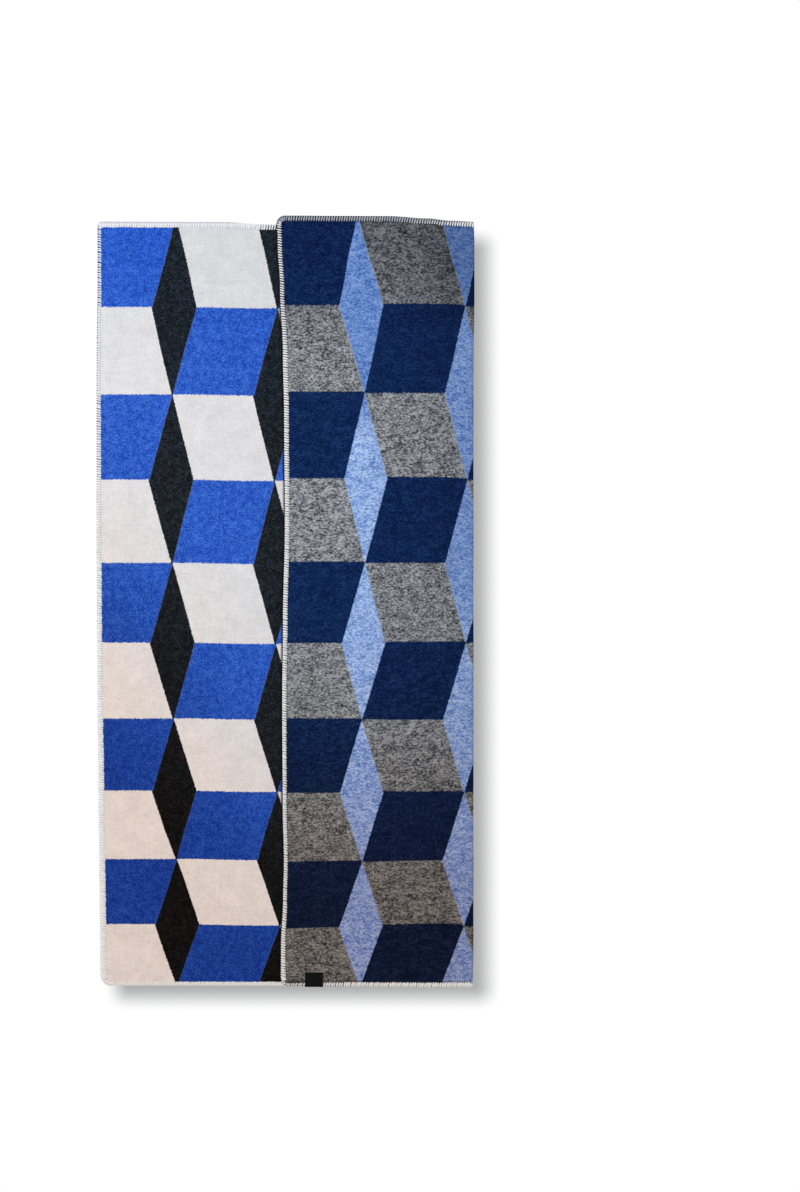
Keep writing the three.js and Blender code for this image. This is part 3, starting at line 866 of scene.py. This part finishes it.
def wool_material(name):
    """One face of the double cloth: two block yarns and a diamond yarn, brushed and matt.

    The ranges of places are in metres: along from the foot, across from the open side.
    """
    face = FACES[name]
    material, n, shader, place = matt_material(name, 1.0, 0.04, sheen=0.03)
    shader.inputs["Sheen Roughness"].default_value = 0.4
    fibres = n.add("ShaderNodeGroup", node_tree=FIBRES)
    n.feed(fibres.inputs["Place"], place)
    fibres.inputs["Streak"].default_value = face["streak"]
    blocks = n.add("ShaderNodeGroup", node_tree=BLOCKS)
    n.feed(blocks.inputs["Motif"], n.add("ShaderNodeUVMap", uv_map="motif").outputs[0])
    n.feed(blocks.inputs["Place"], place)
    blocks.inputs["Diamond Spread"].default_value = face["diamond_spread"]
    blocks.inputs["Second Spread"].default_value = face["second_spread"]
    across, along, _ = n.split(n.add("ShaderNodeUVMap", uv_map="cut").outputs[0])
    # The foot share and the top shares place painted shade: warm towards the foot, cool at the
    # head.
    from_open_side = n.times(n.math("MINIMUM", across, 0.5), face["foot_slant"])
    foot_share = n.spread(n.plus(along, from_open_side), *face["foot_reach"])
    block_top = n.spread(along, 1.55, 1.98)
    top_shares = block_top, block_top, diamond_top_share(n, along, across)
    colors = []
    for yarn, top_share in zip(face["yarns"], top_shares):
        facts = YARNS[yarn]
        wool = n.add("ShaderNodeGroup", node_tree=HEATHER)
        n.feed(wool.inputs["Coarse"], fibres.outputs["Coarse"])
        n.feed(wool.inputs["Fine"], fibres.outputs["Fine"])
        n.feed(wool.inputs["Foot Share"], foot_share)
        n.feed(wool.inputs["Top Share"], top_share)
        yarn_color = linear(*facts["yarn"])
        for key in ("yarn", "pale", "dark"):
            wool.inputs[key.title()].default_value = linear(*facts[key])
        for key in ("top", "foot"):
            tint = [a / b for a, b in zip(linear(*facts[key]), yarn_color)]
            wool.inputs[key.title() + " Tint"].default_value = tint
        for key in ("pale", "dark"):
            wool.inputs[key.title() + " Amount"].default_value = facts[key + "_amount"]
        colors.append(wool.outputs["Color"])
    first, second, diamond = colors
    color = n.mix(blocks.outputs["Second Block"], first, second)
    on_first = n.minus(1.0, blocks.outputs["Second Block"])
    line_share = n.times(n.times(blocks.outputs["Border Line"], on_first), LINE_AMOUNT)
    line_share = n.times(line_share, n.minus(1.0, n.times(foot_share, 0.6)))
    color = n.mix(line_share, color, linear(*face["line"]))
    color = n.mix(blocks.outputs["Diamond"], color, diamond)
    color = n.mix(1.0, color, fibres.outputs["Weave"], blend="MULTIPLY")
    to_fold = n.times(n.spread(across, 1.30, 1.02, smooth=False), face["fold_shade"])
    head_corner = n.times(n.spread(along, 1.66, 1.90), n.spread(across, 1.14, 1.04))
    to_fold = n.plus(to_fold, n.times(head_corner, face["fold_shade"]))
    to_fold = n.times(to_fold, n.minus(1.0, n.times(foot_share, 0.55)))
    color = n.mix(to_fold, color, (0, 0, 0, 1))
    # Painted shade in the gaps between the stitches round the upper layer.
    hem = n.times(n.value_of("shade_under_stitches"), UNDER_STITCHES_AMOUNT)
    color = n.mix(hem, color, linear(*SHADE_UNDER_STITCHES))
    # Painted shadow on the lower layer beside the upper layer's edge.
    beside = n.spread(n.value_of("shade_beside_upper_layer"), 7 * MM, 1 * MM, 0.0, BESIDE_UPPER_AMOUNT)
    color = n.mix(beside, color, linear(*SHADE_BESIDE_UPPER))
    feed_shader(n, shader, color, 0.5, 0.0011, fibres.outputs["Height"])
    return material


def edging_material():
    """Off-white twisted yarn, a little hairy; its painted shade is warm to the foot, cool and grey
    to the head.
    """
    material, n, shader, place = matt_material("whipped_yarn", 0.85, 0.2, sheen=0.15)
    strand = n.split(n.add("ShaderNodeAttribute", attribute_name="strand").outputs[1])
    turn = n.times(strand[0], 2 * math.pi / TWIST_LENGTH)
    one_ply = n.times(n.math("SINE", turn), strand[1])
    groove = n.math("ABSOLUTE", n.plus(one_ply, n.times(n.math("COSINE", turn), strand[2])))
    fuzz = n.noise(place, 900.0, 3.0, 0.6)
    tone = n.noise(place, 120.0, 2.0, 0.5)
    color = n.mix(n.spread(tone, 0.35, 0.65), linear(240, 239, 240), linear(252, 252, 252))
    # Painted shade in the grooves between the twist's plies.
    groove_shade = n.times(n.spread(groove, 0.35, 0.0), 0.22)
    color = n.mix(groove_shade, color, linear(150, 146, 142))
    x, y, _ = n.split(place)
    # Painted light: a warm tint towards the foot, less on the open side; a cool tint, then grey
    # shade at the head.
    warm = n.times(n.spread(y, -0.35, -0.98), n.spread(x, -0.49, -0.46, 0.45, 1.0))
    color = n.mix(warm, color, linear(244, 237, 230))
    color = n.mix(n.spread(y, 0.25, 0.95), color, linear(238, 240, 245))
    color = n.mix(n.spread(y, 0.984, 0.994), color, linear(174, 180, 190))
    height = n.plus(n.times(groove, 0.7), n.times(fuzz, 0.4))
    feed_shader(n, shader, color, 0.7, 0.0008, height)
    return material


def thread_material(name, color):
    material, n, shader, place = matt_material(name, 0.95, 0.05)
    shade = n.grey(n.spread(n.noise(place, 400.0, 2.0, 0.5), 0.3, 0.7, 0.75, 1.25))
    n.feed(shader.inputs["Base Color"], n.mix(1.0, linear(*color), shade, blend="MULTIPLY"))
    return material


def label_material():
    """Black woven tape with a fine rib."""
    material, n, shader, place = matt_material("black_label_tape", 0.8, 0.12)
    x, y, _ = n.split(place)
    rib = n.math("SINE", n.times(y, 2 * math.pi / LABEL_RIB))
    pick = n.math("SINE", n.times(x, 2 * math.pi / LABEL_PICK))
    weave = n.times(rib, pick)
    wear = n.noise(place, 160.0, 3.0, 0.6)
    color = n.mix(n.spread(wear, 0.4, 0.7), linear(9, 9, 11), linear(18, 18, 20))
    color = n.mix(n.spread(weave, -1.0, 1.0, 0.0, 0.3), color, linear(6, 6, 7))
    feed_shader(n, shader, color, 0.5, 0.0004, weave)
    return material


def make_floor_paint():
    """A white floor that glows evenly, but for a soft shade on the right and below."""
    paint, n, shader, place = matt_material("white_floor", 1.0, 0.0)
    shader.inputs["Base Color"].default_value = (0, 0, 0, 1)
    shader.inputs["Emission Strength"].default_value = FLOOR_GLOW
    x, y, _ = n.split(place)
    shade = n.times(n.spread(x, -0.480, -0.408), n.spread(x, 0.572, 0.492))
    shade = n.times(n.times(shade, n.spread(y, 0.985, 0.915)), n.spread(y, -1.080, -1.004))
    n.feed(shader.inputs["Emission Color"], n.mix(shade, (1, 1, 1, 1), FLOOR_SHADE))
    return paint


def make_studio():
    """A white floor, a soft white room and one soft light from the upper left."""
    scene = bpy.context.scene
    bm = bmesh.new()
    bmesh.ops.create_grid(bm, x_segments=1, y_segments=1, size=FLOOR_HALF_WIDTH)
    mesh = mesh_from(bm, "floor")
    mesh.materials.append(make_floor_paint())
    floor = bpy.data.objects.new("floor", mesh)
    floor.location.z = -0.2 * MM
    scene.collection.objects.link(floor)
    world = bpy.data.worlds.new("soft_room")
    scene.world = world
    world.use_nodes = True
    background = world.node_tree.nodes["Background"]
    background.inputs["Color"].default_value = (1, 1, 1, 1)
    background.inputs["Strength"].default_value = ROOM_LIGHT
    data = bpy.data.lights.new("soft_key", "AREA")
    data.shape, data.size, data.energy = "DISK", 2.2, 110
    light = bpy.data.objects.new("soft_key", data)
    light.location = KEY_PLACE
    light.rotation_euler = (Vector(KEY_AIM) - Vector(KEY_PLACE)).to_track_quat("-Z", "Y").to_euler()
    scene.collection.objects.link(light)
    scene.view_settings.view_transform = "Standard"
    scene.view_settings.look = "None"


def make_camera():
    """Straight above, framed as the photograph is, with the blanket left of the middle."""
    metres_per_pixel = FOLDED_LENGTH / BLANKET_PIXELS
    data = bpy.data.cameras.new("camera")
    data.sensor_width = 36
    data.sensor_fit = "AUTO"
    distance = CAMERA_HEIGHT - 5 * MM
    data.lens = data.sensor_width / (PHOTO_SIZE[1] * metres_per_pixel / distance)
    camera = bpy.data.objects.new("camera", data)
    x = (PHOTO_SIZE[0] / 2 - BLANKET_MIDDLE[0]) * metres_per_pixel
    y = (BLANKET_MIDDLE[1] - PHOTO_SIZE[1] / 2) * metres_per_pixel
    camera.location = (x, y, CAMERA_HEIGHT)
    bpy.context.scene.collection.objects.link(camera)
    bpy.context.scene.camera = camera


BLOCKS = blocks_group()
HEATHER = heather_group()
FIBRES = fibre_group()

cloth = make_cloth()
stitches = make_edging()
thread = make_rim_thread()
label = make_label()
cloth.data.materials.append(wool_material("back_wool"))
cloth.data.materials.append(wool_material("front_wool"))
stitches.data.materials.append(edging_material())
# The rim thread is real; its dark colour is painted shade, showing in the gaps between the
# stitches.
thread.data.materials.append(thread_material("shaded_rim_thread", (40, 42, 48)))
thread.data.materials.append(thread_material("pale_thread", (196, 192, 186)))
label.data.materials.append(label_material())

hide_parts("blanket_cloth")
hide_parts("yarn_edging")
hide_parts("yarn_edging")
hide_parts("side_label")

make_studio()
make_camera()
